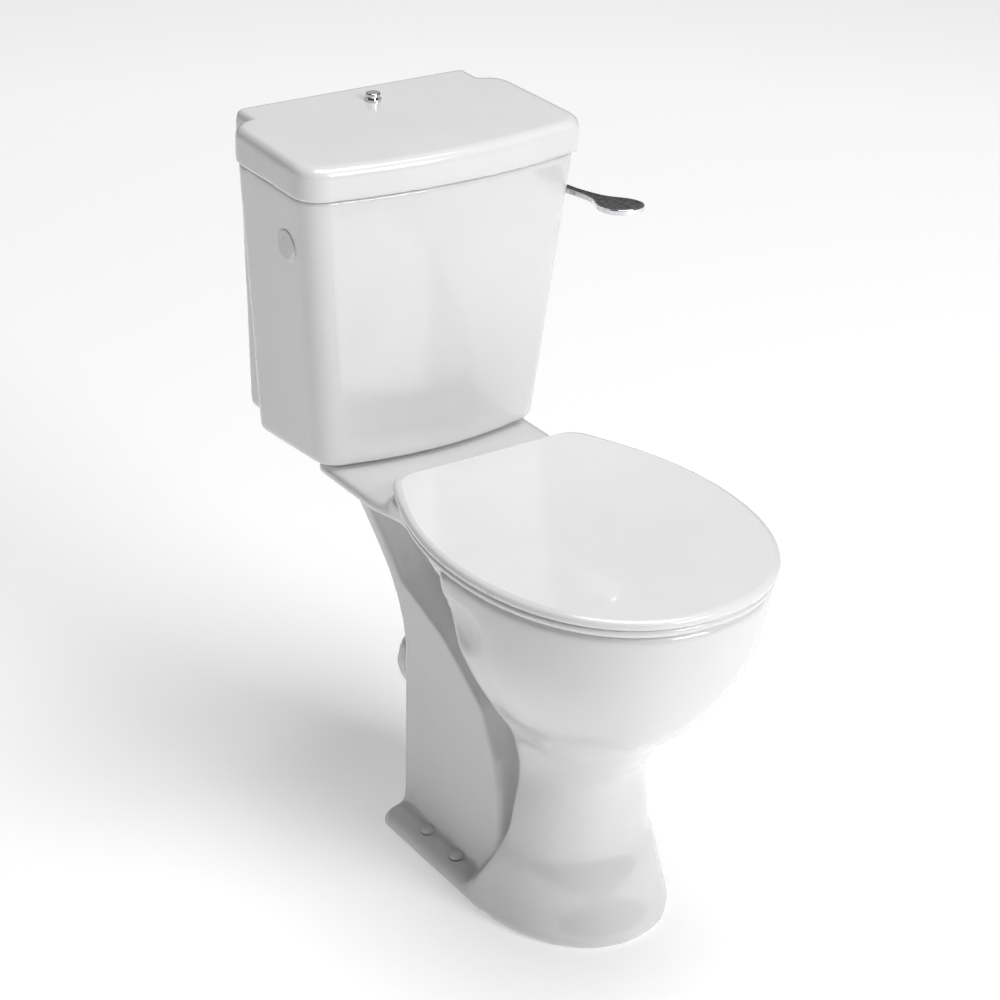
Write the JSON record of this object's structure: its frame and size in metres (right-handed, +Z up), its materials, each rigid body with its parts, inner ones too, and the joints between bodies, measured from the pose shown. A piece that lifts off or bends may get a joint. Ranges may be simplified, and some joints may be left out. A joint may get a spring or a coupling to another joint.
{
  "type": "close coupled toilet",
  "caption": "Close coupled toilet: floor-standing raised-height pan with rear P-trap outlet, cistern with side lever on top, slim seat and lid.",
  "frame": {"origin": "on the floor, at the centre of the rectangle of four floor-fixing holes", "axes": "+Z up, -Y to the front of the seat, +Y to the wall, +X to the side with the flush lever"},
  "size_m": [0.4152, 0.7332, 0.8478],
  "materials": {
    "china": "gloss",
    "seat_plastic": "gloss",
    "chrome": "polished",
    "white_plastic": "satin",
    "works_plastic": "satin",
    "blue_plastic": "satin",
    "black_rubber": "matte",
    "white_rubber": "matte",
    "zinc_steel": "zinc plated",
    "brass_thread": "machined"
  },
  "bodies": {
    "fixed": {"pan": "china", "cistern_body": "china", "lid_bracket": "zinc_steel", "lever_rosette": "chrome", "lever_bush": "brass_thread", "lever_back_nut": "brass_thread", "blanking_plug": "white_plastic", "blanking_plug_nut": "works_plastic", "flush_valve_cage": "works_plastic", "flush_valve_nut": "works_plastic", "flush_valve_washer": "black_rubber", "fill_valve_body": "works_plastic", "fill_valve_nut": "works_plastic", "fill_valve_washer": "black_rubber", "float_arm_pin": "brass_thread", "coupling_doughnut": "black_rubber", "coupling_bolts": "brass_thread", "coupling_cone_washers": "black_rubber", "coupling_pads": "black_rubber", "coupling_plate_washers": "zinc_steel", "coupling_wing_nuts": "brass_thread", "hinge_posts": "chrome", "hinge_pins": "zinc_steel", "hinge_screws": "zinc_steel", "hinge_plugs": "black_rubber", "floor_sleeves": "white_plastic", "floor_caps": "white_plastic"},
    "cistern_lid": {"cistern_lid": "china"},
    "lid_knob": {"lid_knob": "chrome"},
    "seat_ring": {"seat_ring": "seat_plastic", "ring_buffers": "white_rubber"},
    "seat_lid": {"seat_lid": "seat_plastic", "lid_buffers": "white_rubber"},
    "lever": {"flush_lever": "chrome", "lever_inner_arm": "works_plastic"},
    "plunger": {"flush_plunger": "works_plastic", "flush_seal": "black_rubber", "lift_link": "blue_plastic"},
    "float": {"float_arm": "blue_plastic", "float": "works_plastic"}
  },
  "joints": [
    {"name": "cistern_lid_lift", "type": "slide", "parent": "fixed", "child": "cistern_lid", "axis": [0, 0, 1], "range_m": [0, 0.12]},
    {"name": "lid_knob_turn", "type": "hinge", "parent": "cistern_lid", "child": "lid_knob", "pos_m": [0, 0.314, 0.846], "axis": [0, 0, 1], "continuous": true},
    {"name": "seat_ring_hinge", "type": "hinge", "parent": "fixed", "child": "seat_ring", "pos_m": [0, 0.063, 0.4772], "axis": [-1, 0, 0], "range_deg": [0, 95]},
    {"name": "seat_lid_hinge", "type": "hinge", "parent": "seat_ring", "child": "seat_lid", "pos_m": [0, 0.063, 0.4772], "axis": [1, 0, 0], "range_deg": [-95, 0]},
    {"name": "flush_lever_turn", "type": "hinge", "parent": "fixed", "child": "lever", "pos_m": [0.185, 0.207, 0.73], "axis": [1, 0, 0], "range_deg": [0, 25], "stiffness_Nm_per_rad": 0.6, "springref_deg": -20.05},
    {"name": "flush_plunger_lift", "type": "slide", "parent": "fixed", "child": "plunger", "axis": [0, 0, 1], "range_m": [0, 0.0203]},
    {"name": "float_arm_hinge", "type": "hinge", "parent": "fixed", "child": "float", "pos_m": [0.082, 0.285, 0.702], "axis": [0, -1, 0], "range_deg": [0, 20]}
  ],
  "couplings": [
    {"joint": "flush_plunger_lift", "follows": "flush_lever_turn", "m_per_rad": 0.0465}
  ]
}
